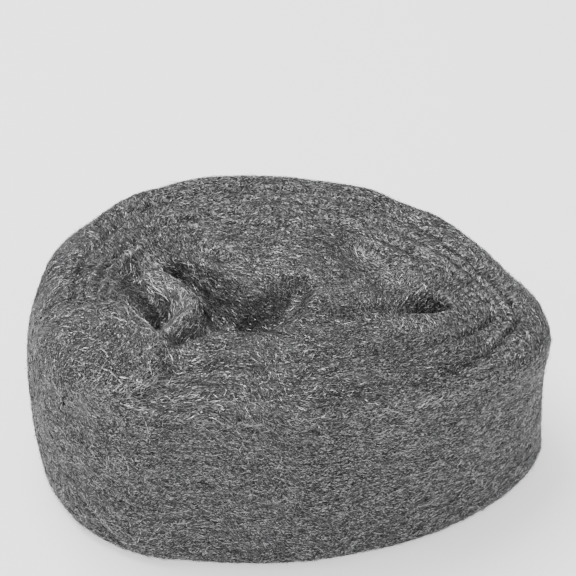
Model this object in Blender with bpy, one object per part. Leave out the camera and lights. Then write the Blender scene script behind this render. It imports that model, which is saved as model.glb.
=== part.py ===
"""A bundle of steel wool: one flat ribbon of wool, wound into an oval coil that lies on its edge.

The turns of the coil have tangled into one soft body, so the bundle is one solid. Its top and underside are the
ribbon's two edges, with a groove between each turn and the next. The innermost turn folds over into a mound, and
left of it stays a deep pocket with the ribbon's curled end in it. At the front left the outer end of the ribbon
feathers out, and its corner flops over the top as a round flap.

Frame: +X to the right, -Y to the front, +Z up, origin under the middle of the bundle. Lengths are in metres.
Places seen from above are in percent of the bundle's length and depth, counted from its middle.
"""

import math

import bmesh
import bpy
import numpy as np
from mathutils import Vector, noise

BUNDLE_LENGTH = 0.166
BUNDLE_DEPTH = 0.120
RIBBON_WIDTH = 0.064  # height of the coil, from the table to the turns' top edges

# The outside of the coil, anticlockwise from the ribbon's outer end.
OUTLINE = (
    (-28.9, -46.7), (-19.9, -49.2), (-8.4, -50.0), (3.6, -49.2), (16.3, -45.0), (27.7, -39.2), (37.3, -30.8),
    (44.9, -20.8), (49.4, -9.6), (48.2, 1.7), (44.0, 13.3), (38.0, 24.2), (30.1, 33.8), (20.5, 41.7), (7.8, 47.5),
    (-5.4, 50.0), (-19.3, 48.3), (-31.9, 40.8), (-42.8, 29.6), (-48.8, 13.3), (-49.7, -5.8), (-47.3, -21.7),
    (-41.9, -33.8), (-35.5, -41.7),
)
# The inside of the wound turns, one point for each point of the outline.
HEART = (
    (-25.3, -20.8), (-19.9, -20.8), (-12.0, -17.1), (-2.4, -14.6), (7.8, -13.3), (17.5, -11.2), (25.3, -9.6),
    (30.7, -7.5), (33.4, -5.0), (32.8, -1.2), (30.1, 2.5), (24.7, 5.8), (17.5, 10.8), (10.5, 16.2), (3.6, 20.0),
    (-4.2, 21.7), (-12.0, 22.1), (-19.3, 20.4), (-25.9, 15.8), (-30.1, 9.6), (-31.9, 1.7), (-32.2, -5.8),
    (-31.0, -12.5), (-28.9, -17.5),
)
# The line in the heart where its back half meets its front half, from the right tip to the left tip.
FOLD = (
    (32.5, -4.6), (28.6, -2.9), (23.2, -4.2), (15.4, -8.3), (4.8, -10.7), (-5.1, -9.6), (-12.3, -1.0),
    (-17.8, 6.5), (-22.3, 12.9), (-26.5, 12.5), (-29.5, 7.5), (-31.3, 0.0),
)
FIRST_BACK_POINT = 9  # the outline's first point behind the right tip

RIGHT_DROP = 0.005  # how much lower the top lies at the right end
TURNS = 5  # around the heart; the innermost turn is folded up in it
CROSSOVER = 6.0  # the last points of each lap, over which a turn moves out by its own thickness
TOP_GROOVES = (0.0022, 0.0012, 0.0026, 0.0014, 0.0028, 0.0026)  # depth of each groove, from the heart outwards
BASE_GROOVE = 0.0016
LEFT_CALM = 0.55  # share of the top grooves' depth that the fluffed-up left end fills
RIM_ROUND = 0.0022  # radius where the outermost turn's face meets its top edge
LEFT_RIM_ROUND = 0.012  # the same at the puffed left end
RIGHT_RIM_ROUND = 0.008  # and at the right end
BASE_ROUND = 0.0045
RIGHT_WAIST = 0.0014  # how far the right end draws in below the rim
LEFT_PUFF = 0.0010  # how far the left end bulges out
END_REACH = 0.035  # length of each end, measured in from it

# Lines along which the top is hollow, with half the width and the depth of each hollow.
POCKET_LINE = ((-24.7, 7.5), (-21.7, -7.5))
POCKET_HALF_WIDTH = 0.0180
POCKET_DEPTH = 0.0120
LEFT_CLEFT_LINE = ((-26.5, 12.2), (-24.4, 5.8), (-24.1, 0.0), (-26.5, -6.7))
FRONT_CLEFT_LINE = ((-22.7, -15.2), (-19.3, -14.2), (-16.3, -10.4), (-15.1, -2.5))
CLEFT_HALF_WIDTH = 0.0060
CLEFT_DEPTH = 0.0180
SHELF_LINE = ((-16.3, -10.4), (-11.0, -11.0), (-5.1, -11.5))
SHELF_HALF_WIDTH = 0.0075
SHELF_DEPTH = 0.0080
CREVICE_LINE = ((-22.3, 12.9), (-17.8, 6.5), (-12.3, -1.0), (-5.1, -9.6))
CREVICE_HALF_WIDTH = 0.0060
CREVICE_DEPTH = 0.0190
NOTCH_LINE = ((-5.1, -9.6), (-1.5, -5.0), (1.2, 1.7))
NOTCH_HALF_WIDTH = 0.0060
NOTCH_DEPTH = 0.0115
SEAM_LINE = ((-5.1, -9.6), (4.8, -10.7), (15.4, -8.3), (23.2, -4.2))
SEAM_HALF_WIDTH = 0.0050
SEAM_DEPTH = 0.0035
EYE_LINE = ((24.8, -3.5), (26.6, -3.0))
EYE_HALF_WIDTH = 0.0056
EYE_DEPTH = 0.0130
MOUND_CREASE_LINE = ((-21.8, 17.6), (-16.3, 16.7), (-9.8, 10.1), (-3.4, 5.1))
MOUND_CREASE_HALF_WIDTH = 0.0050
MOUND_CREASE_DEPTH = 0.0025
VALLEY_LINE = ((12.0, 17.5), (16.7, 12.5), (18.7, 5.8))
VALLEY_HALF_WIDTH = 0.0100
VALLEY_DEPTH = 0.0045
FLAP_SIDE_LINE = ((-22.0, -20.8), (-20.5, -29.2), (-21.4, -36.7), (-24.7, -42.5))
FLAP_SIDE_HALF_WIDTH = 0.0060
FLAP_SIDE_DEPTH = 0.0020
HOLLOWS = (
    (POCKET_LINE, POCKET_HALF_WIDTH, POCKET_DEPTH),
    (LEFT_CLEFT_LINE, CLEFT_HALF_WIDTH, CLEFT_DEPTH),
    (FRONT_CLEFT_LINE, CLEFT_HALF_WIDTH, CLEFT_DEPTH),
    (SHELF_LINE, SHELF_HALF_WIDTH, SHELF_DEPTH),
    (CREVICE_LINE, CREVICE_HALF_WIDTH, CREVICE_DEPTH),
    (NOTCH_LINE, NOTCH_HALF_WIDTH, NOTCH_DEPTH),
    (SEAM_LINE, SEAM_HALF_WIDTH, SEAM_DEPTH),
    (EYE_LINE, EYE_HALF_WIDTH, EYE_DEPTH),
    (MOUND_CREASE_LINE, MOUND_CREASE_HALF_WIDTH, MOUND_CREASE_DEPTH),
    (VALLEY_LINE, VALLEY_HALF_WIDTH, VALLEY_DEPTH),
    (FLAP_SIDE_LINE, FLAP_SIDE_HALF_WIDTH, FLAP_SIDE_DEPTH),
)
HOLLOW_FLOOR = 0.15  # share of a hollow's half width that is at its full depth
SOFT_FROM = 0.0010  # hollows are evened out where they are deeper than this
SOFT_ROUNDS = 2

# The ribbon's curled inner end stands in the pocket as a crescent ridge.
CURL_LINE = ((-27.7, 14.6), (-25.6, 11.9), (-22.0, 7.9), (-19.9, 4.2), (-19.0, -1.2), (-19.9, -5.9), (-22.3, -8.5))
CURL_HALF_WIDTH = 0.0068
CURL_SINK = 0.0040  # how far its crest lies below the turns' top edges

FLAP_CENTRE = (-35.8, -25.4)
FLAP_RADIUS = 0.0235
FLAP_EDGE = 0.0070  # width of the flap's rounded edge
FLAP_LIFT = 0.0030

# Where the ribbon's outer end stops, a crease runs from the rim down the wall.
CREASE_PLACE = -30.1  # along the bundle's length
CREASE_LEAN = 0.0040  # how far the crease's foot lies left of its top
CREASE_FOOT = 0.0380  # height of the foot
CREASE_HALF_WIDTH = 0.0065
CREASE_DEPTH = 0.0024

LUMP_SIZE = 0.020  # the soft unevenness of hand-wound wool
LUMP_HEIGHT = 0.0015
LUMPS_FROM = 0.004  # lumps fade out below this height, so that the bundle lies flat

STEPS_PER_POINT = 4  # stations of the mesh between two outline points
# Rows of the mesh over one turn, as a share of the turn's thickness, each with its share of the groove's depth.
TURN_ROWS = ((0.0, 1.0), (0.2, 0.3), (0.5, 0.0), (0.8, 0.3))
BASE_TURN_ROWS = ((0.0, 1.0), (0.25, 0.0), (0.75, 0.0))
# Rows in the heart, as shares of the way from the wound turns to the fold line.
HEART_ROWS = (1.0, 0.95, 0.89, 0.82, 0.75, 0.68, 0.61, 0.54, 0.47, 0.40, 0.33, 0.25, 0.17, 0.08)
BASE_HEART_ROWS = (1.0, 0.5)
ROUND_STEPS = 3
WALL_STEPS = 6
MERGE = 1e-5
SMOOTH_BELOW = math.radians(60)
WOOL_COLOUR = (0.17, 0.17, 0.175, 1.0)


def in_plan(points):
    """Places in percent of the bundle's length and depth, as metres."""
    return np.array(points) * (BUNDLE_LENGTH / 100, BUNDLE_DEPTH / 100)


def smooth_step(low, high, value):
    """0 below low, 1 above high, and a smooth rise between them."""
    share = np.clip((value - low) / (high - low), 0.0, 1.0)
    return share * share * (3 - 2 * share)


def closed_spline(points):
    """Stations along a smooth closed curve through the points (Catmull-Rom), the first repeated at the end."""
    before, start, end, after = (np.roll(points, shift, axis=0) for shift in (1, 0, -1, -2))
    stations = []
    for step in range(STEPS_PER_POINT):
        t = step / STEPS_PER_POINT
        stations.append(
            start
            + 0.5 * t * (end - before)
            + 0.5 * t**2 * (2 * before - 5 * start + 4 * end - after)
            + 0.5 * t**3 * (3 * start - before - 3 * end + after)
        )
    lap = np.stack(stations, axis=1).reshape(-1, 2)
    return np.vstack([lap, lap[:1]])


def outward_normals(loop):
    """Unit normals of a closed loop of stations that runs anticlockwise, one column for x and one for y."""
    lap = loop[:-1]
    along = np.roll(lap, -1, axis=0) - np.roll(lap, 1, axis=0)
    normals = np.stack([along[:, 1], -along[:, 0]], axis=1)
    normals /= np.linalg.norm(normals, axis=1, keepdims=True)
    return np.vstack([normals, normals[:1]])


def fold_loop():
    """The fold line as a flat loop: along the back from the right tip to the left tip, and back along the front."""
    there_and_back = in_plan([*FOLD, *reversed(FOLD)])
    return closed_spline(np.roll(there_and_back, FIRST_BACK_POINT, axis=0))


def crossover_share():
    """How far each station's turn has moved out towards the next turn's place, from 0 to 1."""
    points = len(OUTLINE)
    station = np.arange(points * STEPS_PER_POINT + 1) / STEPS_PER_POINT
    return smooth_step(points - CROSSOVER, points, station)


def distance_to_line(x, y, line):
    """Distance of each plan position from a line of points."""
    nearest = np.full(np.shape(x), np.inf)
    for (x0, y0), (x1, y1) in zip(line, line[1:]):
        dx, dy = x1 - x0, y1 - y0
        share = np.clip(((x - x0) * dx + (y - y0) * dy) / (dx * dx + dy * dy), 0.0, 1.0)
        nearest = np.minimum(nearest, np.hypot(x - x0 - share * dx, y - y0 - share * dy))
    return nearest


def lump_height(x, y, z):
    """How far soft lumps raise the surface at each place."""
    lumps = [noise.noise(Vector(place) / LUMP_SIZE) for place in zip(x, y, z)]
    return LUMP_HEIGHT * np.array(lumps) * smooth_step(0.0, LUMPS_FROM, z)


def flap_share(x, y):
    """1 on the flap, 0 off it, with a round edge between."""
    centre = in_plan(FLAP_CENTRE)
    inside = np.clip((FLAP_RADIUS - np.hypot(x - centre[0], y - centre[1])) / FLAP_EDGE, 0.0, 1.0)
    return np.sqrt(1 - (1 - inside) ** 2)


def hollow_depth(x, y):
    """Depth of the hollows in the top, with the ribbon's curled end standing in the pocket."""
    depth = np.zeros(np.shape(x))
    for line, half_width, deepest in HOLLOWS:
        off_line = distance_to_line(x, y, in_plan(line)) / half_width
        depth = np.maximum(depth, deepest * (1 - smooth_step(HOLLOW_FLOOR, 1.0, off_line)))
    off_curl = distance_to_line(x, y, in_plan(CURL_LINE)) / CURL_HALF_WIDTH
    return np.minimum(depth, CURL_SINK + (CLEFT_DEPTH - CURL_SINK) * off_curl**2)


def crease_depth(x, y, height):
    """Depth of the crease at places on the wall."""
    along = smooth_step(CREASE_FOOT, RIBBON_WIDTH, height)
    place = in_plan((CREASE_PLACE, 0.0))[0] - CREASE_LEAN * (1 - along)
    off_line = np.abs(x - place) / CREASE_HALF_WIDTH
    return np.where(y < 0, CREASE_DEPTH * along * (1 - smooth_step(0.0, 1.0, off_line)), 0.0)


def coil_rows(turn_rows):
    """(phase, groove share) of each row across the coil, counted in turns; the first lies one turn inside it."""
    rows = [(turn + share, groove) for turn in range(-1, TURNS) for share, groove in turn_rows]
    return [*rows, (float(TURNS), 1.0)]


def coil_side(rim, heart, turn_rows, heart_rows, groove_depths):
    """(plan, groove depth) of each row of one side of the coil, from the heart's fold line out to the rim."""
    fold = fold_loop()
    rows = [(heart + (fold - heart) * share, np.zeros(len(heart))) for share in heart_rows]
    moved = crossover_share()
    for phase, share in coil_rows(turn_rows):
        wound = np.clip(phase + moved, 0.0, TURNS)
        depth = np.interp(wound, np.arange(TURNS + 1), groove_depths) * share
        inside = (wound > 0) & (wound < TURNS)
        reach = (wound / TURNS)[:, None]
        rows.append((heart + (rim - heart) * reach, np.where(inside, depth, 0.0)))
    return rows


def top_level(x, y, groove):
    """Height of the top surface; the flap covers the grooves and hollows under it."""
    flap = flap_share(x, y)
    drop = RIGHT_DROP * smooth_step(0.0, BUNDLE_LENGTH / 2, x)
    flat = np.full(np.shape(x), RIBBON_WIDTH)
    level = flat - drop + lump_height(x, y, flat)
    calm = 1 - LEFT_CALM * smooth_step(BUNDLE_LENGTH / 4, BUNDLE_LENGTH / 2, -x)
    return level - (groove * calm + hollow_depth(x, y)) * (1 - flap) + FLAP_LIFT * flap


def end_shares(loop):
    """For each station, how much of the right end's shape and of the left end's shape it takes, from 0 to 1."""
    x = loop[:, 0]
    return smooth_step(x.max() - END_REACH, x.max(), x), smooth_step(-x.min() - END_REACH, -x.min(), -x)


def bundle_rows():
    """(plan, heights) of all rows of the body, from the middle of the top over the wall to that of the base."""
    outline = closed_spline(in_plan(OUTLINE))
    heart = closed_spline(in_plan(HEART))
    normals = outward_normals(outline)
    right, left = end_shares(outline)
    rounding = RIM_ROUND + (LEFT_RIM_ROUND - RIM_ROUND) * left + (RIGHT_RIM_ROUND - RIM_ROUND) * right
    rim = outline - normals * rounding[:, None]

    grooved = coil_side(rim, heart, TURN_ROWS, HEART_ROWS, TOP_GROOVES)
    rows = [(plan, top_level(*plan.T, groove)) for plan, groove in grooved]
    rim_level = rows[-1][1]
    for step in range(1, ROUND_STEPS + 1):
        angle = math.pi / 2 * step / ROUND_STEPS
        relief = lump_height(*outline.T, rim_level) - crease_depth(*outline.T, rim_level)
        out = (rounding + relief) * math.sin(angle)
        rows.append((rim + normals * out[:, None], rim_level - rounding * (1 - math.cos(angle))))
    shoulder = rim_level - rounding
    for step in range(1, WALL_STEPS + 1):
        share = step / WALL_STEPS
        height = shoulder + (BASE_ROUND - shoulder) * share
        bulge = (LEFT_PUFF * left - RIGHT_WAIST * right) * math.sin(math.pi * share**0.75)
        out = bulge + lump_height(*outline.T, height) - crease_depth(*outline.T, height)
        rows.append((outline + normals * out[:, None], height))
    base_rim = outline - normals * BASE_ROUND
    for step in range(1, ROUND_STEPS + 1):
        angle = math.pi / 2 * step / ROUND_STEPS
        height = np.full(len(outline), BASE_ROUND * (1 - math.sin(angle)))
        out = (BASE_ROUND + lump_height(*outline.T, height)) * math.cos(angle)
        rows.append((base_rim + normals * out[:, None], height))
    base_grooves = [BASE_GROOVE] * (TURNS + 1)
    rows += reversed(coil_side(base_rim, heart, BASE_TURN_ROWS, BASE_HEART_ROWS, base_grooves))
    return rows


def build_bundle():
    """The closed mesh of the bundle, made of rows of points with faces between each row and the next."""
    mesh = bmesh.new()
    previous = None
    for plan, heights in bundle_rows():
        row = [mesh.verts.new((x, y, z)) for (x, y), z in zip(plan, heights)]
        if previous:
            for i in range(len(row) - 1):
                mesh.faces.new((previous[i], previous[i + 1], row[i + 1], row[i]))
        previous = row
    bmesh.ops.remove_doubles(mesh, verts=mesh.verts, dist=MERGE)
    bmesh.ops.dissolve_degenerate(mesh, dist=MERGE, edges=mesh.edges)
    bmesh.ops.triangulate(mesh, faces=mesh.faces, quad_method="SHORT_EDGE")
    bmesh.ops.recalc_face_normals(mesh, faces=mesh.faces)
    return mesh


def soften_hollows(mesh):
    """Evens out the steep sides of the hollows, as wool never keeps a sharp edge."""
    x, y, z = np.array([vert.co for vert in mesh.verts]).T
    deep = (hollow_depth(x, y) > SOFT_FROM) & (z > RIBBON_WIDTH / 2)
    verts = [vert for vert, chosen in zip(mesh.verts, deep) if chosen]
    for _ in range(SOFT_ROUNDS):
        bmesh.ops.smooth_vert(mesh, verts=verts, factor=0.5, use_axis_x=True, use_axis_y=True, use_axis_z=True)


def fit_plan(mesh):
    """Brings the body to its exact length and depth, with the origin under the middle of its box."""
    for axis, size in enumerate((BUNDLE_LENGTH, BUNDLE_DEPTH)):
        places = [vert.co[axis] for vert in mesh.verts]
        low, high = min(places), max(places)
        for vert in mesh.verts:
            vert.co[axis] = (vert.co[axis] - (low + high) / 2) * size / (high - low)


def wool_material():
    material = bpy.data.materials.new("steel_wool")
    material.use_nodes = True
    shader = material.node_tree.nodes["Principled BSDF"]
    shader.inputs["Base Color"].default_value = WOOL_COLOUR
    shader.inputs["Metallic"].default_value = 0.6
    shader.inputs["Roughness"].default_value = 0.55
    return material


def main():
    for old in list(bpy.data.objects):
        bpy.data.objects.remove(old)
    body = build_bundle()
    soften_hollows(body)
    fit_plan(body)
    mesh = bpy.data.meshes.new("steel_wool_bundle")
    body.to_mesh(mesh)
    body.free()
    mesh.shade_smooth()
    mesh.set_sharp_from_angle(angle=SMOOTH_BELOW)
    bundle = bpy.data.objects.new("steel_wool_bundle", mesh)
    bundle.data.materials.append(wool_material())
    bpy.context.scene.collection.objects.link(bundle)


main()
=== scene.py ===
"""Looks of the steel wool bundle: a combed body under a coat of single steel fibres, on a pale floor."""

import math
from collections import namedtuple

import bpy
import numpy as np
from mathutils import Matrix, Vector, noise
from mathutils.bvhtree import BVHTree

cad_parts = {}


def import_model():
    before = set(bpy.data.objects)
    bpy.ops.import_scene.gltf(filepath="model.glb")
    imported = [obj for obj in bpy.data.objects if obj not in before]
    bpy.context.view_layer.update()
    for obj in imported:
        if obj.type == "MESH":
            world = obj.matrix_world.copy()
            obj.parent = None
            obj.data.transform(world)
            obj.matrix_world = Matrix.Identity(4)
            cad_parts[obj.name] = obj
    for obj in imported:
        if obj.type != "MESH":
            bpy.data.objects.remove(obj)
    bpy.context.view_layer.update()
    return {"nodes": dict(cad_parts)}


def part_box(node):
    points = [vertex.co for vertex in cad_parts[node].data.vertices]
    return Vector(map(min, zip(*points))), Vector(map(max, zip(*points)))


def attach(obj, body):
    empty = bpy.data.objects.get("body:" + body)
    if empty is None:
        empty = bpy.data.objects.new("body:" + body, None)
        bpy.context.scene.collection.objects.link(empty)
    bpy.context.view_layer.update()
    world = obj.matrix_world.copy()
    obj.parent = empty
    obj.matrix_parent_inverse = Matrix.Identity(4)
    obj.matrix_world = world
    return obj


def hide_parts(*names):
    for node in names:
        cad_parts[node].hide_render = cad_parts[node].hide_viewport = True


NODE = "steel_wool_bundle"
SEED = 7
TINY = 1e-9  # the least length that a direction is divided by

# The way the wool runs. Places are in metres in the frame's plan.
CENTRE = np.array([-0.003, -0.006])  # what the turns run around
DIRECTIONS = 180  # directions in which the bundle's outline is measured
WALL_BAND = (0.2, 0.8)  # shares of the height between which the wall gives the outline
OUTLINE_WAVES = 12  # waves that the outline keeps when its unevenness is taken out
TURN_STEP = 0.03  # radians over which the outline's direction is measured
AXIS_REACH = 0.45  # share of the outline inside which the wool no longer runs around the centre
AXIS_CORE = 0.6  # share of that inside which all the wool runs straight
MOUND_FLOW = np.array([0.94, -0.34])  # the wool's direction on the mound in the heart
TOP_FROM = 0.8  # share of the height above which the flap and the top's outer rim lie

# The ribbon's curled end, which stands in the pocket as a crescent ridge with its wool along it.
CURL_LINE = np.array([
    (-0.0425, 0.0145), (-0.0365, 0.0095), (-0.0330, 0.0050), (-0.0315, -0.0015), (-0.0335, -0.0080),
])
CURL_REACH = 0.0065
CURL_CORE = 0.5  # share of that in which all the wool follows the curl
CURL_FROM = 0.75  # share of the height above which the curl lies
# The flap at the front left, whose wool runs around its edge.
FLAP_CENTRE = np.array([-0.0595, -0.0305])
FLAP_RADIUS = 0.0235
FLAP_EDGE = 0.8  # share of the radius at which the edge runs
FLAP_EDGE_SPREAD = (0.2, 0.4)  # shares of the radius from the edge between which its wool ends

# The body under the fibres.
WELD_DISTANCE = 0.00001
BODY_RELAX = 4  # rounds of smoothing
RELAX_STEP = 0.5  # share of the way to the middle of its neighbours that one round moves a vertex
LOCK_LENGTH = 0.012  # combed locks of wool: ridges along the wool
LOCK_WIDTH = 0.0018
LOCK_RELIEF = 0.00005
LOCK_WANDER = 1.4  # how far a lock strays sideways, in lock widths
LOCK_WANDER_SIZE = 0.009  # how far along the body one such bend reaches
FLOOR_CLEARANCE = 0.004  # relief fades out below this height, so the bundle still stands flat

# Fibres: how many are drawn, points along each, lengths, half widths, how far they stray and bend in
# radians, brightness, and the share of them that is kept where the wool isn't frayed.
Fibres = namedtuple("Fibres", "count points lengths half_widths spread bend tones calm_share")
COATS = 4  # pieces of short fibres
COAT = Fibres(
    count=23000, points=5, lengths=(0.002, 0.0065), half_widths=(0.00004, 0.00007),
    spread=0.28, bend=0.35, tones=(0.0, 1.0), calm_share=1.0,
)
# Long fibres that lie loose, most of them on the left end, where the ribbon's outer end is frayed.
LOOSE = Fibres(
    count=2400, points=30, lengths=(0.015, 0.035), half_widths=(0.00006, 0.00010),
    spread=0.9, bend=0.22, tones=(0.7, 1.1), calm_share=0.03,
)
FRAYED_LEFT = (0.035, 0.060)  # distances left of the middle between which the wool gets frayed
FRAYED_FRONT = (-0.005, 0.015)  # and distances in front of the middle between which it does
FRAYED_SPREAD = 0.7  # how far the coat's fibres stray there
FIBRE_ROLL = 0.4  # how far a fibre's flat side is turned from the body's surface
FIBRE_TWIST = 0.3  # change of that from one point to the next
FIBRE_WAVE = 0.00010  # unevenness of a fibre's height
FIBRE_LIFT = (0.0, 0.00050)  # height of a fibre's middle over the body
FIBRE_CLEARANCE = 0.0003  # least height of a fibre over the floor
TIP_WIDTH = 0.5  # the least share of its full width that a fibre keeps towards its tips
TIP_START = 0.1  # angle at which a fibre starts on the half wave that its width follows
STRAY_SHARE = 0.05  # fibres with an end that stands off
STRAY_LIFT = 0.0013
STRAY_LEAST = 0.3  # the least share of that by which a stray end is lifted

# The one thick kinked fibre that lies loose on the flap.
KINKED_LINE = np.array([
    (-0.0544, -0.0304, 0.066), (-0.0556, -0.0315, 0.066), (-0.0556, -0.0333, 0.066),
    (-0.0543, -0.0347, 0.066), (-0.0533, -0.0372, 0.066), (-0.0535, -0.0387, 0.066),
    (-0.0548, -0.0421, 0.066), (-0.0525, -0.0429, 0.066), (-0.0507, -0.0449, 0.066),
    (-0.0489, -0.0473, 0.066),
])
KINKED_POINTS = 28
KINKED_STRANDS = 3  # strips with a twist of their own, so that one or another shows its flat side
KINKED_HALF_WIDTHS = (0.00018, 0.00020)
KINKED_LIFT = 0.0013
KINKED_TONE = 1.3

# Painted light on the fibres: how much is added to their brightness, and where.
# A painted highlight along the top's outer rim.
RIM_PAINTED_HIGHLIGHT = 1.0
RIM_REACH = 0.94  # share of the outline outside which the top's outer rim lies
RIM_RISE = 0.6  # upward part of the surface's normal in the middle of the rim
RIM_SPREAD = (0.15, 0.35)  # differences from that between which the rim ends
RIM_LEFT = (-0.065, -0.040)  # places along the length between which the rim's gleam comes
RIM_RIGHT = (0.040, 0.080)  # and those between which it goes
# Painted light on the curl, along the flap's edge and in the shaded hollows.
CURL_PAINTED_LIGHT = 0.65
FLAP_PAINTED_LIGHT = 0.15
HOLLOW_PAINTED_LIGHT = 0.4
HOLLOW_REACH = 0.75  # share of the outline inside which the hollows lie
HOLLOW_FROM = 0.5  # share of the height above which they lie
HOLLOW_DEPTHS = (0.004, 0.012)  # below the top, between which painted light brightens the fibres in the hollows' shade

# Materials. Shades are pairs of a pattern's value and the grey it gives.
BLUE_CAST = 1.02  # the steel's blue, as a multiple of its grey
BODY_SHADES = ((0.36, 0.007), (0.48, 0.042), (0.58, 0.16), (0.68, 0.46))
BODY_METALLIC = 0.55
BODY_ROUGHNESS = 0.55
COMB_SCALE = (900.0, 900.0, 3000.0)  # flecks per metre: two numbers around the bundle, one across the wool
COMB_DETAIL = 3.0
COMB_ROUGHNESS = 0.6
WANDER_SCALE = 260.0  # bends per metre in the combed pattern
WANDER_DETAIL = 2.0
WANDER_MIDDLE = (0.5, 0.5, 0.5)  # the noise's middle value, which bends nothing
WANDER_REACH = 0.0045
BUMP_STRENGTH = 0.9
BUMP_DISTANCE = 0.0004
FIBRE_SHADES = ((0.20, 0.022), (0.45, 0.068), (0.65, 0.185), (0.85, 0.50))
FIBRE_METALLIC = 0.85
FIBRE_ROUGHNESS = 0.42
TONE_GAIN = 0.6  # how much of a fibre's grey comes from its tone, which carries the painted light
GLINT_SCALE = 1500.0  # painted glints per metre of fibre
GLINT_APART = 300.0  # how far a fibre's tone moves its glints in the pattern
GLINT_GAIN = 2.5
GLINT_OFFSET = -1.14

FLOOR_REACH = 3.0
FLOOR_GREY = 0.97
FLOOR_ROUGHNESS = 0.9
FLOOR_GLOW = 0.8
WORLD_LIGHT = 0.98
Lamp = namedtuple("Lamp", "name place watts size")
LAMPS = (
    Lamp("key", (-0.3, 0.2, 1.0), 14.5, 0.6),
    Lamp("front", (-0.3, -0.9, 0.7), 0.2, 0.8),
)
LAMPS_AIM = (0, 0, 0.03)

CAMERA_LENS = 120
CAMERA_DISTANCE = 0.620
CAMERA_HEIGHT_ANGLE = 40.0
CAMERA_TARGET = (0.0, 0.0165, 0.050)


def smooth_step(low, high, value):
    share = np.clip((value - low) / (high - low), 0.0, 1.0)
    return share * share * (3 - 2 * share)


def unit(vectors):
    """The vectors at length 1."""
    return vectors / np.maximum(np.linalg.norm(vectors, axis=-1, keepdims=True), TINY)


def blend(flow, other, share):
    """A flow turned into another one by a share at each point."""
    return flow * (1 - share)[:, None] + other * share[:, None]


def same_way(flow, other):
    """1 where two flows run the same way, and -1 where they run against each other."""
    return np.sign(np.sum(flow * other, axis=1, keepdims=True))


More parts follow.
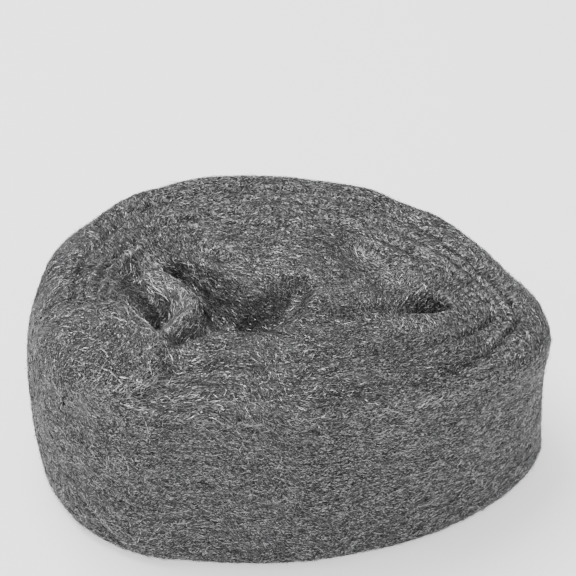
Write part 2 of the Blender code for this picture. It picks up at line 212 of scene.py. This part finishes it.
class WoolFlow:
    """Where the wool runs: around the bundle, on copies of its outline shrunk towards the centre."""

    def __init__(self, points, height):
        self.height = height
        low, high = WALL_BAND
        on_wall = (points[:, 2] > height * low) & (points[:, 2] < height * high)
        wall = points[on_wall][:, :2] - CENTRE
        turn = np.arctan2(wall[:, 1], wall[:, 0])
        order = np.argsort(turn)
        self.grid = np.linspace(-math.pi, math.pi, DIRECTIONS, endpoint=False)
        radius = np.interp(self.grid, turn[order], np.hypot(*wall.T)[order], period=2 * math.pi)
        spectrum = np.fft.rfft(radius)
        spectrum[OUTLINE_WAVES:] = 0
        self.radius = np.fft.irfft(spectrum, DIRECTIONS)
        self.mean = self.radius.mean()

    def radius_at(self, turn):
        """The outline's distance from the centre in each direction."""
        return np.interp(turn, self.grid, self.radius, period=2 * math.pi)

    def at(self, points):
        """Direction from the centre, the outline's radius there and the share of it at each point."""
        offset = points[:, :2] - CENTRE
        turn = np.arctan2(offset[:, 1], offset[:, 0])
        radius = self.radius_at(turn)
        return turn, radius, np.hypot(*offset.T) / radius

    def around(self, turn, radius):
        """Unit plan direction of the bundle's turns in each direction from the centre."""
        out = np.stack([np.cos(turn), np.sin(turn)], axis=1)
        aside = np.stack([-np.sin(turn), np.cos(turn)], axis=1)
        growth = (self.radius_at(turn + TURN_STEP) - radius) / TURN_STEP
        return unit(out * growth[:, None] + aside * radius[:, None])

    def direction(self, points):
        """Unit plan direction of the wool at each point."""
        turn, radius, share = self.at(points)
        flow = self.around(turn, radius)
        in_heart = 1 - smooth_step(AXIS_REACH * AXIS_CORE, AXIS_REACH, share)
        flow = blend(flow, MOUND_FLOW * same_way(flow, MOUND_FLOW), in_heart)
        around_flap = unit((points[:, :2] - FLAP_CENTRE) @ [[0, 1], [-1, 0]])
        flow = blend(flow, around_flap * same_way(flow, around_flap), self.flap_edge_share(points))
        on_curl, along_curl = self.curl(points)
        return unit(blend(flow, along_curl, on_curl))

    def flap_edge_share(self, points):
        """1 along the flap's round edge, falling to 0 beside it."""
        off_edge = np.abs(np.hypot(*(points[:, :2] - FLAP_CENTRE).T) / FLAP_RADIUS - FLAP_EDGE)
        return (1 - smooth_step(*FLAP_EDGE_SPREAD, off_edge)) * (points[:, 2] > self.height * TOP_FROM)

    def curl(self, points):
        """1 on the ribbon's curled end, falling to 0 beside it, and its direction there."""
        nearest = np.full(len(points), np.inf)
        along = np.zeros((len(points), 2))
        for start, end in zip(CURL_LINE, CURL_LINE[1:]):
            part = end - start
            share = np.clip((points[:, :2] - start) @ part / (part @ part), 0.0, 1.0)
            distance = np.hypot(*(points[:, :2] - start - share[:, None] * part).T)
            along[distance < nearest] = part / np.hypot(*part)
            nearest = np.minimum(nearest, distance)
        on_top = points[:, 2] > self.height * CURL_FROM
        return (1 - smooth_step(CURL_REACH * CURL_CORE, CURL_REACH, nearest)) * on_top, along

    def painted_light(self, points, normals):
        """Painted light: how much brighter the fibres' colour is made on the outer rim, the curl and the
        flap, and in the shaded hollows.
        """
        share = self.at(points)[2]
        x, z = points[:, 0], points[:, 2]
        on_rim = (share > RIM_REACH) & (z > self.height * TOP_FROM)
        on_rim = on_rim * smooth_step(*RIM_LEFT, x) * (1 - smooth_step(*RIM_RIGHT, x))
        rim = on_rim * (1 - smooth_step(*RIM_SPREAD, np.abs(normals[:, 2] - RIM_RISE)))
        in_hollow = (share < HOLLOW_REACH) & (z > self.height * HOLLOW_FROM)
        hollow = in_hollow * smooth_step(*HOLLOW_DEPTHS, self.height - z)
        # painted light on the curl and the flap's edge; the rim above is a painted highlight
        edges = CURL_PAINTED_LIGHT * self.curl(points)[0] + FLAP_PAINTED_LIGHT * self.flap_edge_share(points)
        return RIM_PAINTED_HIGHLIGHT * rim + edges + HOLLOW_PAINTED_LIGHT * hollow

    def coordinates(self, points):
        """Seamless coordinates for patterns: two around the bundle and one across the wool."""
        turn, _, share = self.at(points)
        across = share * self.mean + self.height - points[:, 2]
        return np.stack([np.cos(turn) * self.mean, np.sin(turn) * self.mean, across], axis=1)


def link(obj):
    bpy.context.scene.collection.objects.link(obj)


def mesh_points(mesh):
    flat = np.empty(len(mesh.vertices) * 3)
    mesh.vertices.foreach_get("co", flat)
    return flat.reshape(-1, 3)


def mesh_normals(mesh):
    flat = np.empty(len(mesh.vertices) * 3, np.float32)
    mesh.vertex_normals.foreach_get("vector", flat)
    return flat.reshape(-1, 3).astype(float)


def relax(mesh, rounds):
    """Smooths a mesh by moving each vertex towards the middle of its neighbours."""
    edges = np.empty(len(mesh.edges) * 2, int)
    mesh.edges.foreach_get("vertices", edges)
    a, b = edges.reshape(-1, 2).T
    points = mesh_points(mesh)
    count = np.bincount(a, minlength=len(points)) + np.bincount(b, minlength=len(points))
    for _ in range(rounds):
        near = np.zeros_like(points)
        for axis in range(3):
            near[:, axis] += np.bincount(a, points[b, axis], len(points))
            near[:, axis] += np.bincount(b, points[a, axis], len(points))
        points += RELAX_STEP * (near / count[:, None] - points)
    mesh.vertices.foreach_set("co", points.ravel())
    mesh.update()


def relief(points, coords):
    """Height of the combed locks at each point of the body."""
    heights = np.empty(len(points))
    for i, (point, (u, v, across)) in enumerate(zip(points, coords)):
        wander = LOCK_WANDER * noise.noise(Vector(point) / LOCK_WANDER_SIZE)
        heights[i] = noise.noise(Vector((u / LOCK_LENGTH, v / LOCK_LENGTH, across / LOCK_WIDTH + wander)))
    return LOCK_RELIEF * heights * smooth_step(0.0, FLOOR_CLEARANCE, points[:, 2])


def make_body(node):
    """The body, with the CAD solid's shape and each of its triangles split in four."""
    body = bpy.data.objects.new("wool_body", node.data.copy())
    link(body)
    weld = body.modifiers.new("weld", "WELD")
    weld.merge_threshold = WELD_DISTANCE
    fine = body.modifiers.new("fine", "SUBSURF")
    fine.subdivision_type = "SIMPLE"
    fine.levels = fine.render_levels = 1
    split = body.modifiers.new("split", "TRIANGULATE")
    split.quad_method = "SHORTEST_DIAGONAL"
    evaluated = body.evaluated_get(bpy.context.evaluated_depsgraph_get())
    mesh = bpy.data.meshes.new_from_object(evaluated)
    body.modifiers.clear()
    body.data = mesh
    mesh.name = "wool_body"
    return body


def finish_body(body, flow):
    """Smooths the body, combs it and gives it its material."""
    mesh = body.data
    relax(mesh, BODY_RELAX)
    points = mesh_points(mesh)
    coords = flow.coordinates(points)
    points += mesh_normals(mesh) * relief(points, coords)[:, None]
    points[:, 2] = np.maximum(points[:, 2], 0.0)
    mesh.vertices.foreach_set("co", points.ravel())
    mesh.update()
    mesh.shade_smooth()
    strand = mesh.attributes.new("strand", "FLOAT_VECTOR", "POINT")
    strand.data.foreach_set("vector", coords.ravel())
    mesh.materials.clear()
    mesh.materials.append(body_material())


def random_spots(mesh, count, rng):
    """Points spread evenly over a triangle mesh."""
    mesh.calc_loop_triangles()
    corners = np.empty(len(mesh.loop_triangles) * 3, int)
    mesh.loop_triangles.foreach_get("vertices", corners)
    a, b, c = mesh_points(mesh)[corners.reshape(-1, 3)].transpose(1, 0, 2)
    area = np.linalg.norm(np.cross(b - a, c - a), axis=1)
    picked = rng.choice(len(area), count, p=area / area.sum())
    from_a, from_b = np.sqrt(rng.random(count)), rng.random(count)
    shares = (1 - from_a, from_a * (1 - from_b), from_a * from_b)
    return sum(corner[picked] * share[:, None] for corner, share in zip((a, b, c), shares))


def surface_tree(mesh):
    """What on_surface searches."""
    return BVHTree.FromPolygons([v.co for v in mesh.vertices], [p.vertices for p in mesh.polygons])


def on_surface(tree, points):
    """Nearest surface point and normal of each point."""
    hits = [tree.find_nearest(Vector(point)) for point in points]
    return np.array([hit[0] for hit in hits]), np.array([hit[1] for hit in hits])


def frayed_share(points):
    """1 on the left end, where the ribbon's outer end is frayed, and 0 away from it."""
    return smooth_step(*FRAYED_LEFT, -points[:, 0]) * smooth_step(*FRAYED_FRONT, -points[:, 1])


def way_ahead(flow, here, normal, angle):
    """Unit direction in the surface at each point, turned by an angle from the wool's own."""
    along = np.column_stack([flow.direction(here), np.zeros(len(here))])
    along = unit(along - normal * np.sum(along * normal, axis=1, keepdims=True))
    aside = np.cross(normal, along)
    return along * np.cos(angle)[:, None] + aside * np.sin(angle)[:, None]


def fibre_paths(fibres, mesh, tree, flow, rng):
    """Points along each fibre as [fibre, point, axis], the surface's normals at them, and tones with painted
    light.
    """
    spots = random_spots(mesh, fibres.count, rng)
    spots = spots[rng.random(len(spots)) < fibres.calm_share + frayed_share(spots)]
    count, points = len(spots), fibres.points
    spread = fibres.spread + max(FRAYED_SPREAD - fibres.spread, 0.0) * frayed_share(spots)
    angle = rng.normal(0.0, 1.0, count) * spread
    step = rng.uniform(*fibres.lengths, count) / (points - 1)
    lift = rng.uniform(*FIBRE_LIFT, count)
    stray = np.where(rng.random(count) < STRAY_SHARE, rng.uniform(STRAY_LEAST, 1.0, count) * STRAY_LIFT, 0.0)
    here, normal = on_surface(tree, spots)
    # A fibre's tone is its own random brightness with painted light added on the rim, curl, flap and
    # hollows.
    tone = rng.uniform(*fibres.tones, count) + flow.painted_light(spots, normal)
    paths = np.empty((count, points, 3))
    normals = np.empty_like(paths)
    for k in range(points):
        share = k / (points - 1)
        height = lift * math.sin(math.pi * share) + stray * share**2 + rng.normal(0.0, FIBRE_WAVE, count)
        paths[:, k] = here + normal * height[:, None]
        normals[:, k] = normal
        ahead = way_ahead(flow, here, normal, angle)
        here, normal = on_surface(tree, here + ahead * step[:, None])
        angle += rng.normal(0.0, fibres.bend, count)
    paths[..., 2] = np.maximum(paths[..., 2], FIBRE_CLEARANCE)
    return paths, normals, tone


def kinked_path(tree):
    """The kinked fibre's paths, surface normals and tones, in the form that fibre_paths gives them."""
    corners = np.arange(len(KINKED_LINE))
    places = np.linspace(0, corners[-1], KINKED_POINTS)
    line = np.column_stack([np.interp(places, corners, values) for values in KINKED_LINE.T])
    spots, normals = on_surface(tree, line)
    paths = np.repeat((spots + normals * KINKED_LIFT)[None], KINKED_STRANDS, axis=0)
    return paths, np.repeat(normals[None], KINKED_STRANDS, axis=0), np.full(KINKED_STRANDS, KINKED_TONE)


def fibre_sides(paths, normals, half_widths, rng):
    """From each point of each fibre, the way to the edge of its flat twisted strip."""
    count, steps, _ = paths.shape
    along = unit(np.gradient(paths, axis=1))
    side = unit(np.cross(along, normals))
    up = np.cross(side, along)
    roll = rng.normal(0.0, FIBRE_ROLL, (count, 1))
    roll = roll + np.cumsum(rng.normal(0.0, FIBRE_TWIST, (count, steps)), axis=1)
    across = side * np.cos(roll)[..., None] + up * np.sin(roll)[..., None]
    half_wave = np.sin(np.linspace(TIP_START, math.pi - TIP_START, steps))
    taper = TIP_WIDTH + (1 - TIP_WIDTH) * half_wave
    return across * (rng.uniform(*half_widths, (count, 1)) * taper)[..., None]


def fibre_mesh(name, half_widths, paths, normals, tone, rng):
    """Thin flat shavings along the paths, each with its own tone and painted light."""
    count, steps, _ = paths.shape
    across = fibre_sides(paths, normals, half_widths, rng)
    verts = np.stack([paths - across, paths + across], axis=2).reshape(-1, 3)
    first = (np.arange(count)[:, None] * steps + np.arange(steps - 1)) * 2
    quads = (first[..., None] + [0, 1, 3, 2]).reshape(-1, 4).astype(np.int32)
    mesh = bpy.data.meshes.new(name)
    mesh.vertices.add(len(verts))
    mesh.vertices.foreach_set("co", verts.ravel())
    mesh.loops.add(quads.size)
    mesh.loops.foreach_set("vertex_index", quads.ravel())
    mesh.polygons.add(len(quads))
    mesh.polygons.foreach_set("loop_start", np.arange(0, quads.size, 4, dtype=np.int32))
    mesh.update(calc_edges=True)
    mesh.validate()
    mesh.shade_smooth()
    tones = np.repeat(tone, steps * 2)
    mesh.attributes.new("tone", "FLOAT", "POINT").data.foreach_set("value", tones)
    return mesh


def add_fibres(mesh, material):
    """Puts a piece of fibres into the scene."""
    piece = bpy.data.objects.new(mesh.name, mesh)
    mesh.materials.append(material)
    link(piece)
    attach(piece, "root")


class Nodes:
    """Builds a material's nodes with little text."""

    def __init__(self, name):
        self.material = bpy.data.materials.new(name)
        self.material.use_nodes = True
        self.tree = self.material.node_tree
        self.shader = self.tree.nodes["Principled BSDF"]

    def fill(self, socket, value):
        """Links a socket to another one, or sets it to a value."""
        if isinstance(value, bpy.types.NodeSocket):
            self.tree.links.new(value, socket)
        else:
            socket.default_value = value

    def add(self, kind, inputs, **settings):
        node = self.tree.nodes.new(kind)
        for key, value in settings.items():
            setattr(node, key, value)
        for socket, value in inputs.items():
            self.fill(node.inputs[socket], value)
        return node

    def vector(self, operation, inputs):
        return self.add("ShaderNodeVectorMath", inputs, operation=operation).outputs[0]

    def number(self, operation, inputs):
        return self.add("ShaderNodeMath", inputs, operation=operation).outputs[0]

    def attribute(self, name):
        return self.add("ShaderNodeAttribute", {}, attribute_name=name)

    def place(self):
        return self.add("ShaderNodeTexCoord", {}).outputs["Object"]

    def ramp(self, value, stops):
        node = self.add("ShaderNodeValToRGB", {"Fac": value})
        elements = node.color_ramp.elements
        while len(elements) < len(stops):
            elements.new(0.5)
        for element, (position, grey) in zip(elements, stops):
            element.position = position
            element.color = (grey, grey, grey * BLUE_CAST, 1.0)
        return node.outputs["Color"]

    def set(self, **inputs):
        """Fills the shader's sockets, which are named with _ for a space."""
        for socket, value in inputs.items():
            self.fill(self.shader.inputs[socket.replace("_", " ")], value)


def body_material():
    """Dark wool between the fibres, combed along the strand."""
    n = Nodes("wool_body")
    strand = n.attribute("strand").outputs["Vector"]
    bends = {"Vector": n.place(), "Scale": WANDER_SCALE, "Detail": WANDER_DETAIL}
    wander = n.add("ShaderNodeTexNoise", bends).outputs["Color"]
    shift = n.vector("SUBTRACT", {0: wander, 1: WANDER_MIDDLE})
    shift = n.vector("SCALE", {0: shift, 3: WANDER_REACH})
    warped = n.vector("ADD", {0: strand, 1: shift})
    combed = n.vector("MULTIPLY", {0: warped, 1: COMB_SCALE})
    flecks = {"Vector": combed, "Scale": 1.0, "Detail": COMB_DETAIL, "Roughness": COMB_ROUGHNESS}
    fleck = n.add("ShaderNodeTexNoise", flecks).outputs["Fac"]
    bump = n.add("ShaderNodeBump", {"Height": fleck, "Strength": BUMP_STRENGTH, "Distance": BUMP_DISTANCE})
    n.set(
        Base_Color=n.ramp(fleck, BODY_SHADES),
        Roughness=BODY_ROUGHNESS,
        Metallic=BODY_METALLIC,
        Normal=bump.outputs["Normal"],
    )
    return n.material


def fibre_material():
    """Bare steel fibres, grey, with glints painted into their colour along each fibre."""
    n = Nodes("steel_fibre")
    tone = n.attribute("tone").outputs["Fac"]
    own = n.number("MULTIPLY", {0: tone, 1: GLINT_APART})
    # Painted glints: noise along each fibre, moved apart by its tone, brightens short stretches of its
    # colour.
    glints = {"Vector": n.place(), "W": own, "Scale": GLINT_SCALE, "Detail": 0.0}
    glint = n.add("ShaderNodeTexNoise", glints, noise_dimensions="4D").outputs["Fac"]
    shift = n.number("MULTIPLY_ADD", {0: glint, 1: GLINT_GAIN, 2: GLINT_OFFSET})
    mixed = n.number("MULTIPLY_ADD", {0: tone, 1: TONE_GAIN, 2: shift})
    n.set(Base_Color=n.ramp(mixed, FIBRE_SHADES), Roughness=FIBRE_ROUGHNESS, Metallic=FIBRE_METALLIC)
    return n.material


def make_floor():
    mesh = bpy.data.meshes.new("floor")
    corners = [(x * FLOOR_REACH, y * FLOOR_REACH, 0) for x, y in ((-1, -1), (1, -1), (1, 1), (-1, 1))]
    mesh.from_pydata(corners, [], [(0, 1, 2, 3)])
    floor = bpy.data.objects.new("floor", mesh)
    link(floor)
    paper = Nodes("floor_paper")
    paper.set(
        Base_Color=(FLOOR_GREY, FLOOR_GREY, FLOOR_GREY, 1.0),
        Roughness=FLOOR_ROUGHNESS,
        Emission_Color=(1.0, 1.0, 1.0, 1.0),
        Emission_Strength=FLOOR_GLOW,
    )
    mesh.materials.append(paper.material)


def make_lights():
    """Even light from all round, with two soft lamps."""
    world = bpy.data.worlds.new("studio")
    world.use_nodes = True
    sky = world.node_tree.nodes["Background"].inputs
    sky["Color"].default_value = (1, 1, 1, 1)
    sky["Strength"].default_value = WORLD_LIGHT
    bpy.context.scene.world = world
    for name, place, watts, size in LAMPS:
        data = bpy.data.lights.new(name, "AREA")
        data.energy = watts
        data.size = size
        lamp = bpy.data.objects.new(name, data)
        lamp.location = place
        lamp.rotation_euler = (Vector(place) - Vector(LAMPS_AIM)).to_track_quat("Z", "Y").to_euler()
        link(lamp)


def make_camera():
    data = bpy.data.cameras.new("camera")
    data.lens = CAMERA_LENS
    camera = bpy.data.objects.new("camera", data)
    tilt = math.radians(CAMERA_HEIGHT_ANGLE)
    back = Vector((0, -math.cos(tilt), math.sin(tilt)))
    camera.location = Vector(CAMERA_TARGET) + back * CAMERA_DISTANCE
    camera.rotation_euler = back.to_track_quat("Z", "Y").to_euler()
    link(camera)
    bpy.context.scene.camera = camera


def main():
    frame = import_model()
    rng = np.random.default_rng(SEED)
    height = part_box(NODE)[1].z
    body = make_body(frame["nodes"][NODE])
    flow = WoolFlow(mesh_points(body.data), height)
    finish_body(body, flow)
    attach(body, "root")
    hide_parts(NODE)

    tree = surface_tree(body.data)
    steel = fibre_material()
    pieces = [(f"wool_fibres_{number}", COAT) for number in range(1, COATS + 1)]
    for name, fibres in [*pieces, ("loose_fibres", LOOSE)]:
        paths = fibre_paths(fibres, body.data, tree, flow, rng)
        add_fibres(fibre_mesh(name, fibres.half_widths, *paths, rng), steel)
    add_fibres(fibre_mesh("kinked_fibre", KINKED_HALF_WIDTHS, *kinked_path(tree), rng), steel)

    make_floor()
    make_lights()
    make_camera()


main()
